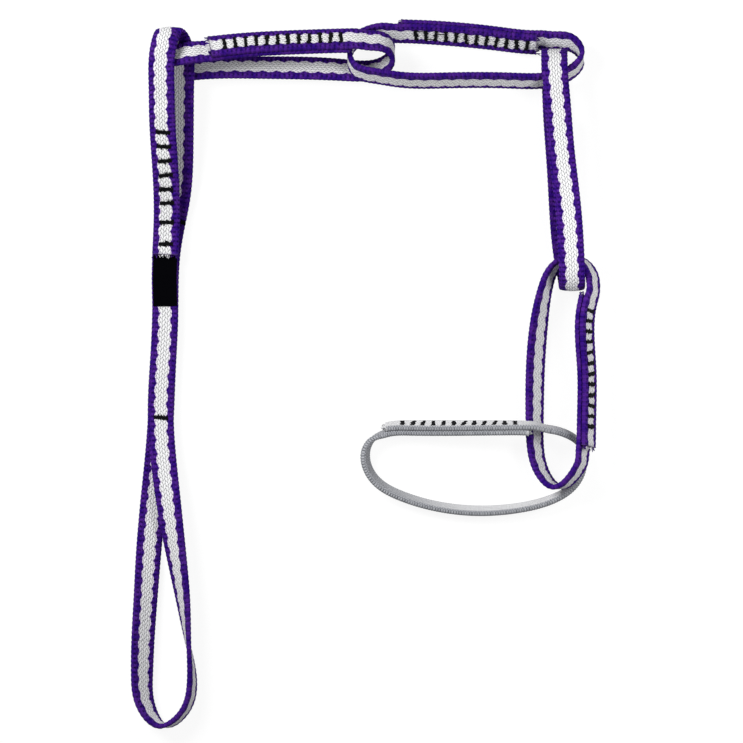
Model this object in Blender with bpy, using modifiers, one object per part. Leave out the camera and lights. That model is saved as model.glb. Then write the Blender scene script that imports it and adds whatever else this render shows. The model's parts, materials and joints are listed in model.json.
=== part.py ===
"""A personal anchor: a sewn tie-in loop and a chain of five interlinked loops of webbing, lying on a table.

Metres, +Z up. The tape of every loop is swept along a smooth route through hand-placed points.
"""

import bmesh
import bpy
import numpy as np
from mathutils import Vector

MM = 0.001

# Driving sizes of the two kinds of webbing
TAPE_WIDTH = 13.0 * MM
TAPE_THICK = 2.4 * MM
SLIM_WIDTH = 8.0 * MM
SLIM_THICK = 2.4 * MM
LAYER_GAP = 0.3 * MM
EDGE_CHAMFER = 0.5 * MM

# A splice is where the two ends of a tape lie on each other and are sewn
SPLICE_LENGTH = 70.0 * MM
LINK_2_SPLICE_LENGTH = 68.0 * MM
LINK_3_SPLICE_LENGTH = 60.0 * MM
LINK_4_SPLICE_LENGTH = 74.0 * MM
END_SPLICE_LENGTH = 72.0 * MM
SPLICE_RAMP = 9.0 * MM
SPLICE_CLEAR = 1.5 * MM

# Bar tacks and the jump threads between them
TACK_ACROSS = 7.0 * MM
SLIM_TACK_ACROSS = 5.0 * MM
TACK_ALONG = 1.9 * MM
TACK_FRAY = 0.35 * MM
TACK_PITCH = 5.2 * MM
TIE_IN_TACK_PITCH = 7.3 * MM
THROAT_TACK_PITCH = 10.8 * MM
JUMP_THREAD = 0.5 * MM
THREAD_HEIGHT = 0.4 * MM
THREAD_GAP = 0.3 * MM
LINK_TACKS = 12
TIE_IN_FIRST_TACK = 7.0 * MM
THROAT_PAUSE = 1.4 * MM
DIVIDER_PLACE = 152.0 * MM
TIE_IN_TACKS = 6
THROAT_TACKS = 2

# Label sewn over the front strand of the tie-in loop
LABEL_LENGTH = 24.0 * MM
LABEL_WIDTH = 12.2 * MM
LABEL_THICK = 0.6 * MM
LABEL_GAP = 0.3 * MM
LABEL_PAST_END = 0.8 * MM
LABEL_SECTIONS = 7

# Length between the middles of a loop's two bights, and the spread between its strands
TIE_IN_LENGTH = 348.0 * MM
TIE_IN_SPREAD = 25.0 * MM
LINK_1_LENGTH = 118.0 * MM
LINK_1_SPREAD = 14.5 * MM
LINK_2_LENGTH = 116.0 * MM
LINK_2_SPREAD = 23.8 * MM
LINK_3_LENGTH = 119.0 * MM
LINK_3_SPREAD = 8.8 * MM
LINK_4_LENGTH = 114.5 * MM
LINK_4_SPREAD = 29.0 * MM
END_LINK_LENGTH = 110.0 * MM
END_LINK_SPREAD = 41.5 * MM

# Where each loop starts, from the loop before it
LINK_1_FROM_TIE_IN = (-5.1 * MM, -13.0 * MM)
HOOKED_1_2 = 21.5 * MM
LINK_2_ACROSS = -1.2 * MM
LINK_3_FROM_FAR_END = 10.1 * MM
LINK_3_ABOVE_STRAND = 15.4 * MM
HOOKED_3_4 = 15.5 * MM
LINK_4_ACROSS = 0.7 * MM
END_LINK_PAST_STRAND = 10.4 * MM
END_LINK_ABOVE_BIGHT = 8.7 * MM
HINGE_4_SHARE = 2.0 / 3.0

# Heights in the route tables count levels: a tape on edge and two layers make this many
LEVELS_PER_STACK = 17.8
LEVEL = (TAPE_WIDTH + 2 * TAPE_THICK) / LEVELS_PER_STACK

# The longest step and the largest turn between two sections of a swept tape
LONGEST_STEP = 8.0 * MM
LARGEST_TURN = 11.0
FINE_STEPS = 3000

VIOLET = (0.07, 0.012, 0.32, 1.0)
GREY = (0.42, 0.43, 0.45, 1.0)
BLACK = (0.012, 0.012, 0.014, 1.0)

# Routes: (pixel along, pixel across, level, lean in degrees) of the photograph. Lean is the angle from
# upright of the tape's width, positive towards the loop's left. A fifth number leans it forward, for a bight
# that lies at an angle. The first point is where the inner layer starts.
TIE_IN_ROUTE_PX = (
    (118, 162.5, 21.2, 90), (170, 165.5, 14.6, 90), (222, 166.5, 7.2, 90), (256, 165, 6.1, 90),
    (284, 164.5, 4.8, 90), (306, 165, 4.75, 90), (380, 161.5, 4.75, 90), (421, 160.5, 4.9, 89),
    (462, 163.5, 6.2, 82), (510, 169.5, 8.4, 66), (560, 177, 8.2, 44), (600, 183, 7.6, 27),
    (645, 188.5, 7.1, 3), (685, 192, 7.1, -14), (712, 184, 7.1, -14), (725.5, 163, 7.1, -10),
    (706, 145.5, 6.9, -34), (675, 141.5, 6.2, -52), (640, 142.5, 5.8, -58), (600, 145, 5.2, -62),
    (555, 148, 3.8, -72), (500, 153, 2.4, -84), (425, 160, 2.0, -90), (380, 162, 2.0, -90),
    (306, 165, 2.0, -90), (256, 168, 2.05, -90), (225, 173.5, 2.7, -90), (195, 178, 4.9, -90),
    (150, 180.5, 8.9, -90), (105, 181, 12.1, -90), (78, 181.5, 12.8, -90), (52, 181, 12.7, -90),
    (35, 175, 15.8, -90), (29.5, 169.5, 19.9, -90), (37, 166, 24.7, -90), (56, 162.5, 26.6, -90),
    (85, 162, 25.2, -90),
)
LINK_1_ROUTE_PX = (
    (350, 41, 21.2, -48), (300, 42.5, 20.0, -48), (250, 45, 19.6, -49), (212, 49, 19.6, -52),
    (175, 55.5, 20.3, -53), (162, 58.5, 18.0, -49), (156.5, 64, 12.4, -46), (164, 69.5, 7.0, -46),
    (195, 69, 5.5, -46), (256, 66, 5.4, -46), (345, 69, 5.4, -46), (376, 70, 5.8, -46), (389, 63, 9.3, -46),
    (393, 53, 13.5, -46), (387, 44, 17.8, -46), (372, 41, 20.8, -47),
)
LINK_2_ROUTE_PX = (
    (538, 41, 6.2, 43), (500, 38, 6.2, 44), (440, 32.5, 6.2, 44), (395, 31.5, 6.6, 40),
    (368, 35.5, 7.4, 36), (354.5, 43, 9.1, 31), (351, 55, 12.5, 28), (356.5, 68, 16.0, 28),
    (378, 75, 18.6, 29), (400, 79, 18.6, 29), (450, 80.5, 16.0, 29), (510, 80.5, 13.0, 29),
    (550, 79.5, 11.2, 29), (570, 72, 10.4, 29), (583, 55, 8.7, 32), (574, 41, 7.2, 38),
    (557, 38.5, 6.3, 42),
)
LINK_3_ROUTE_PX = (
    (118, 557, 4.1, 90), (170, 561, 4.0, 90), (225, 564, 3.9, 90), (262, 568, 1.6, 90), (280, 571, 4.0, 90),
    (288, 571.5, 11.0, 90), (280, 571.5, 18.6, 90), (262, 571, 22.2, 90), (205, 568, 20.4, 90),
    (150, 562, 19.4, 90), (100, 557.5, 19.3, 90), (68, 554.5, 18.9, 90), (54.5, 554, 15.5, 90),
    (49.5, 554, 10.4, 90), (54.5, 554, 5.2, 90), (70, 554.5, 1.8, 90),
)
LINK_4_ROUTE_PX = (
    (298, 588.5, 14.6, -28), (370, 586.5, 15.0, -27), (425, 586, 15.8, -27), (455, 583, 17.0, -27),
    (472, 576, 16.6, -27), (486, 557, 11.8, -26), (474, 544, 8.2, -30), (445, 536, 6.4, -35),
    (420, 535.3, 6.1, -37), (370, 536, 6.1, -37), (320, 540, 6.6, -35), (285, 546.5, 8.4, -28),
    (264, 557, 11.0, -24), (257, 572, 12.0, -22), (265, 587, 12.9, -22), (281, 593, 13.3, -26),
)
END_LINK_ROUTE_PX = (
    (529, 427, 17.2, 18, 0), (470, 427, 12.5, 24, 0), (410, 427, 7.0, 24, 0), (385, 433, 5.4, 20, 6),
    (370, 445, 4.6, 15, 16), (365, 460, 4.4, 12, 20), (374, 477, 4.4, 16, 18), (400, 494, 4.4, 22, 8),
    (440, 506, 4.4, 24, 0), (480, 510, 4.4, 24, 0), (520, 507, 4.4, 22, 0), (555, 497.5, 4.4, 20, 0),
    (576, 483, 4.3, 16, 0), (585, 460, 4.3, 12, 0), (581, 444, 4.9, 12, 0), (568, 433.5, 10.0, 12, 0),
    (548, 428, 16.0, 14, 0),
)


def ease(t):
    """A smooth step from 0 to 1."""
    t = np.clip(t, 0.0, 1.0)
    return t * t * (3.0 - 2.0 * t)


def unit(rows):
    return rows / np.linalg.norm(rows, axis=1)[:, None]


class ClosedSpline:
    """A smooth closed curve through rows of numbers: a cubic whose second derivative is continuous."""

    def __init__(self, rows, knots, period):
        self.rows, self.knots, self.period = rows, knots, period
        self.gaps = np.diff(np.append(knots, period))
        count = len(knots)
        slopes = (np.roll(rows, -1, axis=0) - rows) / self.gaps[:, None]
        matrix = np.zeros((count, count))
        for i in range(count):
            before, after = self.gaps[i - 1], self.gaps[i]
            matrix[i, i - 1] += before
            matrix[i, i] += 2.0 * (before + after)
            matrix[i, (i + 1) % count] += after
        self.bends = np.linalg.solve(matrix, 6.0 * (slopes - np.roll(slopes, 1, axis=0)))

    def __call__(self, at):
        at = np.mod(at, self.period)
        i = np.searchsorted(self.knots, at, side="right") - 1
        j = (i + 1) % len(self.knots)
        gap = self.gaps[i][:, None]
        t = (at - self.knots[i])[:, None]
        left = gap - t
        bend = (self.bends[i] * left**3 + self.bends[j] * t**3) / (6.0 * gap)
        return (
            bend
            + (self.rows[i] / gap - self.bends[i] * gap / 6.0) * left
            + (self.rows[j] / gap - self.bends[j] * gap / 6.0) * t
        )


class Route:
    """One loop's route. It starts as the splice's inner layer, goes once round and ends as its outer one."""

    def __init__(self, table, start, heading, length, spread, splice, thick, lap_turn=0.0):
        self.splice, self.thick, self.lap_turn = splice, thick, lap_turn
        turned = np.radians(heading)
        self.ahead = np.array([np.cos(turned), np.sin(turned), 0.0])
        self.left = np.array([-np.sin(turned), np.cos(turned), 0.0])
        along, across, level, lean, *forward = np.array(table, float).T
        along = (along - along.min()) / np.ptp(along) * length
        if heading == 180:
            along = length - along
        across = (across - (across.min() + across.max()) / 2.0) / np.ptp(across) * spread
        if heading == 0:
            across = -across
        origin = np.array([start[0], start[1], 0.0])
        points = origin + along[:, None] * self.ahead + across[:, None] * self.left
        points[:, 2] = level * LEVEL
        steps = np.linalg.norm(np.roll(points, -1, axis=0) - points, axis=1)
        knots = np.concatenate([[0.0], np.cumsum(steps)[:-1]])
        self.period = steps.sum()
        forward = forward or [np.zeros(len(knots))]
        rows = np.column_stack([points, lean - lap_turn * knots / self.period, *forward])
        self.spline = ClosedSpline(rows, knots, self.period)
        self.fine = np.linspace(0.0, self.period, FINE_STEPS + 1)
        places = self.spline(self.fine)[:, :3]
        walked = np.cumsum(np.linalg.norm(np.diff(places, axis=0), axis=1))
        self.walked = np.concatenate([[0.0], walked])
        self.length = self.walked[-1]
        across_loop = places[(self.walked > self.length / 6.0) & (self.walked < self.length * 5.0 / 6.0)]
        place, _, _, normal = self.frame(np.array([0.0, self.length]))
        opposite = across_loop[np.argmin(np.linalg.norm(across_loop - place[0], axis=1))]
        self.outward = np.sign(((place - opposite) * normal).sum(axis=1))

    def frame(self, walked):
        """Place, direction, width direction and face normal of the middle between the layers."""
        lap = np.floor(walked / self.length)
        at = np.interp(walked - lap * self.length, self.walked, self.fine)
        nudge = self.period / FINE_STEPS / 10.0
        row = self.spline(at)
        ahead = unit(self.spline(at + nudge)[:, :3] - self.spline(at - nudge)[:, :3])
        lean = np.radians(row[:, 3] + self.lap_turn * (at / self.period + lap))
        forward = np.sin(np.radians(row[:, 4]))[:, None] * self.ahead
        wide = np.sin(lean)[:, None] * self.left + forward + np.cos(lean)[:, None] * np.array([0.0, 0.0, 1.0])
        wide = unit(wide - (wide * ahead).sum(axis=1)[:, None] * ahead)
        return row[:, :3], ahead, wide, np.cross(ahead, wide)

    def side(self, walked):
        """Which way along the face normal is outward, near the route's start and near its end."""
        return np.where(walked < self.length / 2.0, self.outward[0], self.outward[1])

    def layer(self, walked):
        """How far out the tape lies: inner layer first, then single, then outer layer."""
        apart = (self.thick + LAYER_GAP) / 2.0
        inner = 1.0 - ease((walked - self.splice - SPLICE_CLEAR) / SPLICE_RAMP)
        outer = ease((walked - self.length + SPLICE_CLEAR + SPLICE_RAMP) / SPLICE_RAMP)
        return apart * (outer - inner)

    def sections(self, walked, out=0.0):
        place, ahead, wide, normal = self.frame(walked)
        shift = self.side(walked) * (self.layer(walked) + out)
        return place + normal * shift[:, None], wide

    def stations(self):
        """Places of the sections, the same on both laps so that the splice's layers stay parallel."""
        walked = np.linspace(0.0, self.length, FINE_STEPS + 1)
        _, ahead, wide, _ = self.frame(walked)
        turns = [np.degrees(np.arccos(np.clip((v[1:] * v[:-1]).sum(axis=1), -1, 1))) for v in (ahead, wide)]
        cost = np.maximum(np.diff(walked) / LONGEST_STEP, np.maximum(*turns) / LARGEST_TURN)
        cost = np.concatenate([[0.0], np.cumsum(cost)])
        even = np.linspace(0.0, cost[-1], int(np.ceil(cost[-1])) + 1)[:-1]
        lap = np.interp(even, cost, walked)
        lap = lap[np.abs(lap - self.splice) > SPLICE_CLEAR]
        lap = np.sort(np.append(lap, self.splice))
        return np.concatenate([lap, self.length + lap[lap <= self.splice]])


def material(name, colour, roughness):
    made = bpy.data.materials.new(name)
    made.use_nodes = True
    shader = made.node_tree.nodes["Principled BSDF"]
    shader.inputs["Base Color"].default_value = colour
    shader.inputs["Roughness"].default_value = roughness
    shader.inputs["Metallic"].default_value = 0.0
    made.diffuse_color = colour
    return made


def strip(name, places, wides, half_widths, thick, look, hinge, chamfer=0.0):
    """A band through the given places, moved by its loop's hinge: a grid laid along them, thickened by
    Solidify."""
    mesh = bpy.data.meshes.new(name)
    made = bpy.data.objects.new(name, mesh)
    grid = bmesh.new()
    bmesh.ops.create_grid(grid, x_segments=len(places) - 1, y_segments=1, size=0.5)
    grid.verts.ensure_lookup_table()
    by_row = sorted(grid.verts, key=lambda vert: (round(vert.co.y, 3), vert.co.x))
    count = len(places)
    edges = (places - wides * half_widths[:, None], places + wides * half_widths[:, None])
    for side in (0, 1):
        for vert, place in zip(by_row[side * count : (side + 1) * count], edges[side]):
            vert.co = Vector(place) - place_of(hinge)
    grid.to_mesh(mesh)
    grid.free()
    mesh.materials.append(look)
    solid = made.modifiers.new("Thickness", "SOLIDIFY")
    solid.thickness = thick
    solid.offset = 0.0
    solid.use_even_offset = True
    if chamfer:
        bevel = made.modifiers.new("Edges", "BEVEL")
        bevel.width = chamfer
        bevel.segments = 1
        bevel.limit_method = "ANGLE"
        bevel.angle_limit = np.radians(50.0)
    parts.objects.link(made)
    made.parent = hinge


def tape(name, route, width, look, hinge):
    walked = route.stations()
    places, wides = route.sections(walked)
    strip(name, places, wides, np.full(len(walked), width / 2.0), route.thick, look, hinge, EDGE_CHAMFER)


def tack_row(name, route, first, count, pitch, across, out, hinge):
    """Bar tacks joined by their jump threads, as one band that is wide at each tack."""
    walked, halves = [], []
    for middle in first + pitch * np.arange(count):
        half = TACK_ALONG / 2.0
        walked += [middle - half - TACK_FRAY, middle - half, middle + half, middle + half + TACK_FRAY]
        halves += [JUMP_THREAD / 2.0, across / 2.0, across / 2.0, JUMP_THREAD / 2.0]
    places, wides = route.sections(np.array(walked), out)
    strip(name, places, wides, np.array(halves), THREAD_HEIGHT, thread_black, hinge)


def splice_tacks(name, route, first, count, pitch, across, hinge):
    """Needle thread outside the outer layer, and bobbin thread inside the inner one."""
    out = route.thick / 2.0 + THREAD_GAP + THREAD_HEIGHT / 2.0
    tack_row(name + "_needle_tacks", route, route.length + first, count, pitch, across, out, hinge)
    tack_row(name + "_bobbin_tacks", route, first, count, pitch, across, -out, hinge)


def link_tack_pitch(splice):
    """The tacks share a splice evenly, with the same pause before the first and after the last."""
    return min(TACK_PITCH, (splice - 2.0 * SPLICE_CLEAR) / LINK_TACKS)


def first_link_tack(splice):
    """Where the first of a link's tacks is along its splice."""
    return (splice - (LINK_TACKS - 1) * link_tack_pitch(splice)) / 2.0


def rear_place(walked):
    """Where on the rear strand of the tie-in loop lies beneath a place on its front strand."""
    front = tie_in.frame(np.array([walked]))[0][0]
    rear = np.linspace(tie_in.length / 2.0, tie_in.length - TIE_IN_FIRST_TACK, FINE_STEPS)
    places = tie_in.frame(rear)[0]
    beneath = places[:, 2] < front[2]
    apart = np.where(beneath, np.abs(places[:, 1] - front[1]), np.inf)
    return rear[np.argmin(apart)]


def place_of(hinge):
    """Where an empty stands in the chain's own frame, in which the routes are laid."""
    place = Vector((0.0, 0.0, 0.0))
    while hinge.parent:
        place += hinge.location
        hinge = hinge.parent
    return place


def hinge_at(name, x, y, parent):
    """An empty on the upright axis about which a loop swings inside the loop before it."""
    made = bpy.data.objects.new(name, None)
    made.empty_display_size = TAPE_WIDTH
    joints.objects.link(made)
    if parent:
        made.parent = parent
        made.location = Vector((x, y, 0.0)) - place_of(parent)
    return made


for old in list(bpy.data.objects):
    bpy.data.objects.remove(old, do_unlink=True)

parts = bpy.data.collections.new("Personal anchor")
joints = bpy.data.collections.new("Joints")
bpy.context.scene.collection.children.link(parts)
bpy.context.scene.collection.children.link(joints)

tape_violet = material("violet webbing", VIOLET, 0.85)
tape_grey = material("grey webbing", GREY, 0.8)
thread_black = material("black thread", BLACK, 0.7)
label_black = material("black label", BLACK, 0.6)

# Places of the loops, each from the one before it
tie_in_start = (0.0, 0.0)
tie_in = Route(
    TIE_IN_ROUTE_PX, tie_in_start, -90, TIE_IN_LENGTH, TIE_IN_SPREAD, SPLICE_LENGTH, TAPE_THICK, -180.0
)
link_1_start = (tie_in_start[0] + LINK_1_FROM_TIE_IN[0], tie_in_start[1] + LINK_1_FROM_TIE_IN[1])
link_1 = Route(LINK_1_ROUTE_PX, link_1_start, 0, LINK_1_LENGTH, LINK_1_SPREAD, SPLICE_LENGTH, TAPE_THICK)
link_2_start = (link_1_start[0] + LINK_1_LENGTH - HOOKED_1_2, link_1_start[1] + LINK_2_ACROSS)
link_2 = Route(
    LINK_2_ROUTE_PX, link_2_start, 0, LINK_2_LENGTH, LINK_2_SPREAD, LINK_2_SPLICE_LENGTH, TAPE_THICK
)
link_3_start = (
    link_2_start[0] + LINK_2_LENGTH - LINK_3_FROM_FAR_END,
    link_2_start[1] - LINK_2_SPREAD / 2.0 + LINK_3_ABOVE_STRAND,
)
link_3 = Route(
    LINK_3_ROUTE_PX, link_3_start, -90, LINK_3_LENGTH, LINK_3_SPREAD, LINK_3_SPLICE_LENGTH, TAPE_THICK
)
link_4_start = (link_3_start[0] + LINK_4_ACROSS, link_3_start[1] - LINK_3_LENGTH + HOOKED_3_4)
link_4 = Route(
    LINK_4_ROUTE_PX, link_4_start, -90, LINK_4_LENGTH, LINK_4_SPREAD, LINK_4_SPLICE_LENGTH, TAPE_THICK
)
end_start = (
    link_4_start[0] + END_LINK_PAST_STRAND,
    link_4_start[1] - LINK_4_LENGTH + END_LINK_ABOVE_BIGHT,
)
end_link = Route(
    END_LINK_ROUTE_PX, end_start, 180, END_LINK_LENGTH, END_LINK_SPREAD, END_SPLICE_LENGTH, SLIM_THICK
)

# Each loop swings inside the one before it, where their bights hook
chain = hinge_at("anchor_origin", 0.0, 0.0, None)
hinge_1 = hinge_at("first_link_hinge", tie_in_start[0], link_1_start[1], chain)
hinge_2 = hinge_at("second_link_hinge", link_2_start[0] + HOOKED_1_2 / 2.0, link_1_start[1], hinge_1)
hinge_3 = hinge_at("third_link_hinge", link_3_start[0], link_3_start[1] - LINK_3_ABOVE_STRAND / 2.0, hinge_2)
hinge_4_y = link_4_start[1] - HOOKED_3_4 * HINGE_4_SHARE
hinge_4 = hinge_at("fourth_link_hinge", link_4_start[0], hinge_4_y, hinge_3)
hinge_5 = hinge_at("end_link_hinge", link_4_start[0], end_start[1], hinge_4)

tape("tie_in_webbing", tie_in, TAPE_WIDTH, tape_violet, chain)
tape("end_link_webbing", end_link, SLIM_WIDTH, tape_grey, hinge_5)
for name, route, hinge in (
    ("first_link", link_1, hinge_1),
    ("second_link", link_2, hinge_2),
    ("third_link", link_3, hinge_3),
    ("fourth_link", link_4, hinge_4),
):
    pitch = link_tack_pitch(route.splice)
    tape(name + "_webbing", route, TAPE_WIDTH, tape_violet, hinge)
    splice_tacks(name, route, first_link_tack(route.splice), LINK_TACKS, pitch, TACK_ACROSS, hinge)

splice_tacks("tie_in", tie_in, TIE_IN_FIRST_TACK, TIE_IN_TACKS, TIE_IN_TACK_PITCH, TACK_ACROSS, chain)
end_first, end_pitch = first_link_tack(END_SPLICE_LENGTH), link_tack_pitch(END_SPLICE_LENGTH)
splice_tacks("end_link", end_link, end_first, LINK_TACKS, end_pitch, SLIM_TACK_ACROSS, hinge_5)

# Tacks through every strand: two close the chamber at its throat and one divides it from the eye
over_face = TAPE_THICK / 2.0 + THREAD_GAP + THREAD_HEIGHT / 2.0
throat = TIE_IN_FIRST_TACK + TIE_IN_TACKS * TIE_IN_TACK_PITCH + THROAT_PAUSE
rear_throat = rear_place(throat) - THROAT_TACK_PITCH * (THROAT_TACKS - 1)
for name, walked, count in (
    ("throat_needle_tacks", tie_in.length + throat, THROAT_TACKS),
    ("throat_bobbin_tacks", rear_throat, THROAT_TACKS),
    ("divider_needle_tack", DIVIDER_PLACE, 1),
    ("divider_bobbin_tack", rear_place(DIVIDER_PLACE), 1),
):
    tack_row(name, tie_in, walked, count, THROAT_TACK_PITCH, TACK_ACROSS, over_face, chain)

# The label lies on the front strand, just past the end of the outer layer
label_walked = np.linspace(0.0, LABEL_LENGTH, LABEL_SECTIONS) + SPLICE_LENGTH + LABEL_PAST_END
label_places, label_wides = tie_in.sections(label_walked, TAPE_THICK / 2.0 + LABEL_GAP + LABEL_THICK / 2.0)
label_halves = np.full(LABEL_SECTIONS, LABEL_WIDTH / 2.0)
strip("label", label_places, label_wides, label_halves, LABEL_THICK, label_black, chain)

# The origin is at the middle of the whole anchor's underside
bpy.context.view_layer.update()
graph = bpy.context.evaluated_depsgraph_get()
corners = np.array([
    made.matrix_world @ Vector(corner)
    for made in parts.objects
    for corner in made.evaluated_get(graph).bound_box
])
middle = (corners.min(axis=0) + corners.max(axis=0)) / 2.0
chain.location = (-middle[0], -middle[1], -corners[:, 2].min())
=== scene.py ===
"""The looks of a personal anchor: a long tie-in loop, four short links and a slim end loop, all of woven tape
and hooked in a chain, with the bar tacks that close them and a blank label."""

import json

import bpy
import numpy as np
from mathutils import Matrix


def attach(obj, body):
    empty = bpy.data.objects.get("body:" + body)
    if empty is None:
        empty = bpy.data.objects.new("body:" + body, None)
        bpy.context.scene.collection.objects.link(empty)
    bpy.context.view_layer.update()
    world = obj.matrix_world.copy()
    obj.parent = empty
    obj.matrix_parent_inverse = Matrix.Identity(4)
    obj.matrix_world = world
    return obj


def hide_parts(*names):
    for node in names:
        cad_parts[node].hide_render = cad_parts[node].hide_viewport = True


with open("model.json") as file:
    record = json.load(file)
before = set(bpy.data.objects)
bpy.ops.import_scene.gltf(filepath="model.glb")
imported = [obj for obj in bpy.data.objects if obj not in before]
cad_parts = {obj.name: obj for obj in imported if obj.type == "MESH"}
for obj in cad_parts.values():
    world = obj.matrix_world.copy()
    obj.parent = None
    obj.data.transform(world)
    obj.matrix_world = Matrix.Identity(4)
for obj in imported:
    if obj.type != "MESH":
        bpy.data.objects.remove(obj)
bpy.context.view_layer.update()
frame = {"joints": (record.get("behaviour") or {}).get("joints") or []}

# The table and the light. A pale studio table lies under the anchor, photographed from straight above. A
# large soft lamp lights it from the upper left, and a small one stands close to the right of the chain.
TABLE_WIDE = 6.0
TABLE_DROP = 0.0002
TABLE_COLOUR = (0.55, 0.55, 0.55, 1.0)
TABLE_GLOW = 1.2
SHADOW_KEPT = 0.25
SKY_STRENGTH = 0.2
PURE_WHITE = (1.0, 1.0, 1.0, 1.0)
# Each lamp's place in metres, its width in metres and its watts
LEFT_LAMP = ((-0.6, 0.42, 0.72), 0.5, 9.7)
RIGHT_LAMP = ((0.27, 0.04, 0.29), 0.16, 0.68)


def add(tree, kind, *values, **settings):
    """A shader node whose inputs, in order, are linked to sockets or set to values. Its first output."""
    made = tree.nodes.new("ShaderNode" + kind)
    for key, value in settings.items():
        setattr(made, key, value)
    for socket, value in zip(made.inputs, values):
        if isinstance(value, bpy.types.NodeSocket):
            tree.links.new(value, socket)
        elif value is not None:
            socket.default_value = value
    return made.outputs[0]


def calc(tree, operation, *values):
    """A Math node's output."""
    return add(tree, "Math", *values, operation=operation)


def blank_material(name):
    """A material with no nodes but its output. The material, its node tree and the output's surface."""
    made = bpy.data.materials.new(name)
    made.use_nodes = True
    made.node_tree.nodes.clear()
    output = made.node_tree.nodes.new("ShaderNodeOutputMaterial")
    return made, made.node_tree, output.inputs["Surface"]


# Seen by the camera the table is mostly its own white, and keeps a share of the shadows
table_white, tree, surface = blank_material("studio white")
lit = add(tree, "BsdfDiffuse", TABLE_COLOUR)
plain = add(tree, "Emission", PURE_WHITE, TABLE_GLOW)
rays = tree.nodes.new("ShaderNodeLightPath").outputs
seen = calc(tree, "MAXIMUM", rays["Is Camera Ray"], rays["Is Glossy Ray"])
share = calc(tree, "MULTIPLY", seen, 1.0 - SHADOW_KEPT)
tree.links.new(add(tree, "MixShader", share, lit, plain), surface)

table_mesh = bpy.data.meshes.new("table")
table_reach = TABLE_WIDE / 2.0
square = ((-1, -1), (1, -1), (1, 1), (-1, 1))
table_corners = [(x * table_reach, y * table_reach, -TABLE_DROP) for x, y in square]
table_mesh.from_pydata(table_corners, [], [(0, 1, 2, 3)])
table_mesh.materials.append(table_white)
table = bpy.data.objects.new("table", table_mesh)
bpy.context.scene.collection.objects.link(table)

sky = bpy.data.worlds.new("studio")
sky.use_nodes = True
background = sky.node_tree.nodes["Background"].inputs
background["Color"].default_value = PURE_WHITE
background["Strength"].default_value = SKY_STRENGTH
bpy.context.scene.world = sky
bpy.context.scene.view_settings.view_transform = "Standard"

for lamp_name, (place, wide, watts) in (("left lamp", LEFT_LAMP), ("right lamp", RIGHT_LAMP)):
    lamp_data = bpy.data.lights.new(lamp_name, "AREA")
    lamp_data.shape = "DISK"
    lamp_data.size = wide
    lamp_data.energy = watts
    lamp = bpy.data.objects.new(lamp_name, lamp_data)
    lamp.location = place
    lamp.rotation_euler = lamp.location.to_track_quat("Z", "Y").to_euler()
    bpy.context.scene.collection.objects.link(lamp)

# The camera. It looks straight down through a long lens, so that each pixel of the 743 is half a millimetre
# of the table, and the tapes' heights hardly move them.
PIXEL = 0.0005
PHOTO_PIXELS = 743
CAMERA_HEIGHT = 6.0
MIDDLE_HEIGHT = 0.012
SENSOR = 36.0
camera_data = bpy.data.cameras.new("camera")
camera_data.sensor_width = SENSOR
camera_data.lens = SENSOR * (CAMERA_HEIGHT - MIDDLE_HEIGHT) / (PHOTO_PIXELS * PIXEL)
camera_data.clip_end = 2.0 * CAMERA_HEIGHT
camera = bpy.data.objects.new("camera", camera_data)
bpy.context.scene.collection.objects.link(camera)
bpy.context.scene.camera = camera

# The tie-in loop. One long tape of flat webbing is turned over once, laid end on end and sewn, so it is a
# ring with a half twist. It is woven with violet borders round a white middle, and its route is seen here
# as pixels along and across the photograph, a height in millimetres and the lean of its width from upright.
MM = 0.001
TAPE_WIDE = 13.0
TAPE_THICK = 2.4
LAYER_GAP = 0.3
SPLICE = 70.0
SPLICE_RAMP = 9.0
SPLICE_CLEAR = 1.5
# The heights in the routes were chosen for a tape whose width and two thicknesses together are this
CHOSEN_STACK = 17.8
LEVEL = (TAPE_WIDE + 2.0 * TAPE_THICK) / CHOSEN_STACK
FINE_STEPS = 3000
NUDGES_PER_STEP = 10.0
FAR_PARTS = 6.0
RIGHTWARDS, LEFTWARDS, DOWNWARDS = 0, 180, -90
TIE_IN_LENGTH, TIE_IN_SPREAD = 348.0, 25.0
TIE_IN_PLACE = (0.0, 0.0)
HALF_TWIST = -180.0
TIE_IN_PX = (
    (118, 162.5, 21.2, 90), (170, 165.5, 14.6, 90), (222, 166.5, 7.2, 90), (256, 165, 6.1, 90),
    (284, 164.5, 4.8, 90), (306, 165, 4.75, 90), (380, 161.5, 4.75, 90), (421, 160.5, 4.9, 89),
    (462, 163.5, 6.2, 82), (510, 169.5, 8.4, 66), (560, 177, 8.2, 44), (600, 183, 7.6, 27),
    (645, 188.5, 7.1, 3), (685, 192, 7.1, -14), (712, 184, 7.1, -16), (725.5, 163, 7.1, -22),
    (706, 145.5, 6.9, -40), (675, 141.5, 6.2, -52), (640, 142.5, 5.8, -58), (600, 145, 5.2, -62),
    (555, 148, 3.8, -72), (500, 153, 2.4, -84), (425, 160, 2.0, -90), (380, 162, 2.0, -90),
    (306, 165, 2.0, -90), (256, 166.8, 2.05, -90), (225, 171.8, 2.7, -90), (195, 177.6, 4.9, -90),
    (150, 180.5, 8.9, -90), (105, 181, 12.1, -90), (78, 181.5, 12.8, -90), (52, 181, 12.7, -90),
    (35, 175, 15.8, -90), (29.5, 169.5, 19.9, -90), (37, 166, 24.7, -90), (56, 162.5, 26.6, -90),
    (85, 162, 25.2, -90),
)

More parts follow.
